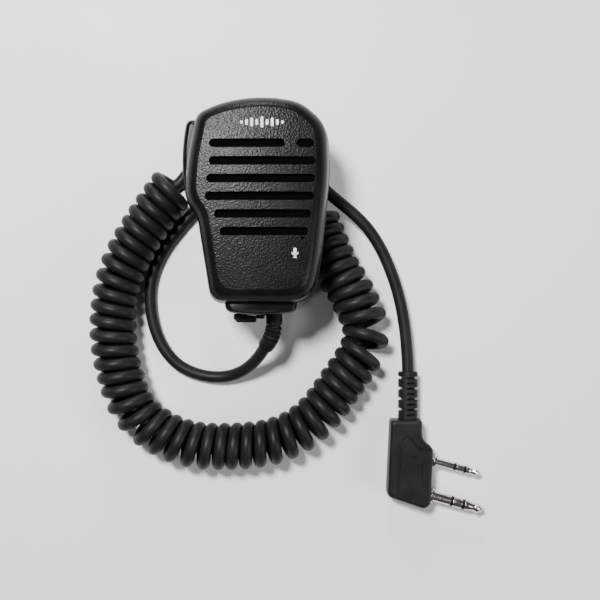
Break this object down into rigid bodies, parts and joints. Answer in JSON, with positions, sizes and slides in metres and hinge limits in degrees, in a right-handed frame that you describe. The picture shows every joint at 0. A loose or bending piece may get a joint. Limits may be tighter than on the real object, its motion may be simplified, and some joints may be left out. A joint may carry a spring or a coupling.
{
  "type": "hand microphone",
  "caption": "Hand-held speaker microphone with a push-to-talk bar, belt clip, earphone socket and curly cord ending in a right-angle two-pin plug.",
  "frame": {"origin": "on the surface the handset lies on, below the middle of the handset and its clip", "axes": "+X across the handset to the right as seen from its face, +Y towards its top, +Z out of the face"},
  "size_m": [0.1311, 0.1341, 0.039],
  "materials": {
    "casing": "moulded grain",
    "clip_plastic": "satin",
    "rubber": "satin",
    "cord_jacket": "satin",
    "plug_plastic": "fine grain",
    "core_plastic": "plain",
    "screw_steel": "plain",
    "contact_nickel": "polished",
    "insulator": "gloss",
    "grille_fabric": "woven",
    "cone_paper": "pressed pulp",
    "board_laminate": "solder mask",
    "wire_insulation": "plain",
    "plunger_plastic": "plain"
  },
  "bodies": {
    "root": {"front_shell": "casing", "rear_shell": "casing", "clip_base": "clip_plastic", "shell_seal": "rubber", "plunger_seal": "rubber", "mic_boot": "rubber", "jack_cover_strap": "rubber", "handset_boot": "rubber", "cord_tail": "rubber", "plug_strain_relief": "rubber", "mic_lead": "cord_jacket", "cord_coil": "cord_jacket", "plug_lead": "cord_jacket", "plug_body": "plug_plastic", "plug_core": "core_plastic", "cord_clamp": "core_plastic", "switch_body": "core_plastic", "ear_jack_body": "core_plastic", "shell_screws": "screw_steel", "clamp_screws": "screw_steel", "clip_base_screw": "screw_steel", "clip_pin": "screw_steel", "ptt_pin": "screw_steel", "speaker_frame": "screw_steel", "large_pin_sleeve": "contact_nickel", "large_pin_ring": "contact_nickel", "large_pin_tip": "contact_nickel", "small_pin_sleeve": "contact_nickel", "small_pin_ring": "contact_nickel", "small_pin_tip": "contact_nickel", "ear_jack_nut": "contact_nickel", "speaker_magnet": "contact_nickel", "mic_capsule": "contact_nickel", "large_pin_insulators": "insulator", "small_pin_insulators": "insulator", "grille_cloth": "grille_fabric", "speaker_gasket": "grille_fabric", "speaker_cone": "cone_paper", "circuit_board": "board_laminate", "speaker_wires": "wire_insulation", "cord_wires": "wire_insulation"},
    "ptt": {"ptt_button": "casing"},
    "plunger": {"switch_plunger": "plunger_plastic"},
    "clip": {"clip_lever": "clip_plastic", "clip_spring": "screw_steel"},
    "cover": {"jack_cover": "rubber"}
  },
  "joints": [
    {"name": "ptt_press", "type": "hinge", "parent": "root", "child": "ptt", "pos_m": [-0.0196, 0.0052, 0.0201], "axis": [0, 0, -1], "range_deg": [0, 3], "stiffness_Nm_per_rad": 0.3, "springref_deg": -1.72},
    {"name": "plunger_slide", "type": "slide", "parent": "root", "child": "plunger", "axis": [1, 0, 0], "range_m": [0, 0.0008]},
    {"name": "clip_swing", "type": "hinge", "parent": "root", "child": "clip", "pos_m": [0, 0.001, 0.008], "axis": [1, 0, 0], "range_deg": [0, 20], "stiffness_Nm_per_rad": 0.25, "springref_deg": -22.92, "deforming": ["clip_spring"]},
    {"name": "jack_cover_hinge", "type": "hinge", "parent": "root", "child": "cover", "pos_m": [0.0006, -0.0337, 0.019], "axis": [0, 0, 1], "range_deg": [0, 80]}
  ],
  "couplings": [
    {"joint": "plunger_slide", "follows": "ptt_press", "m_per_rad": 0.0148}
  ]
}
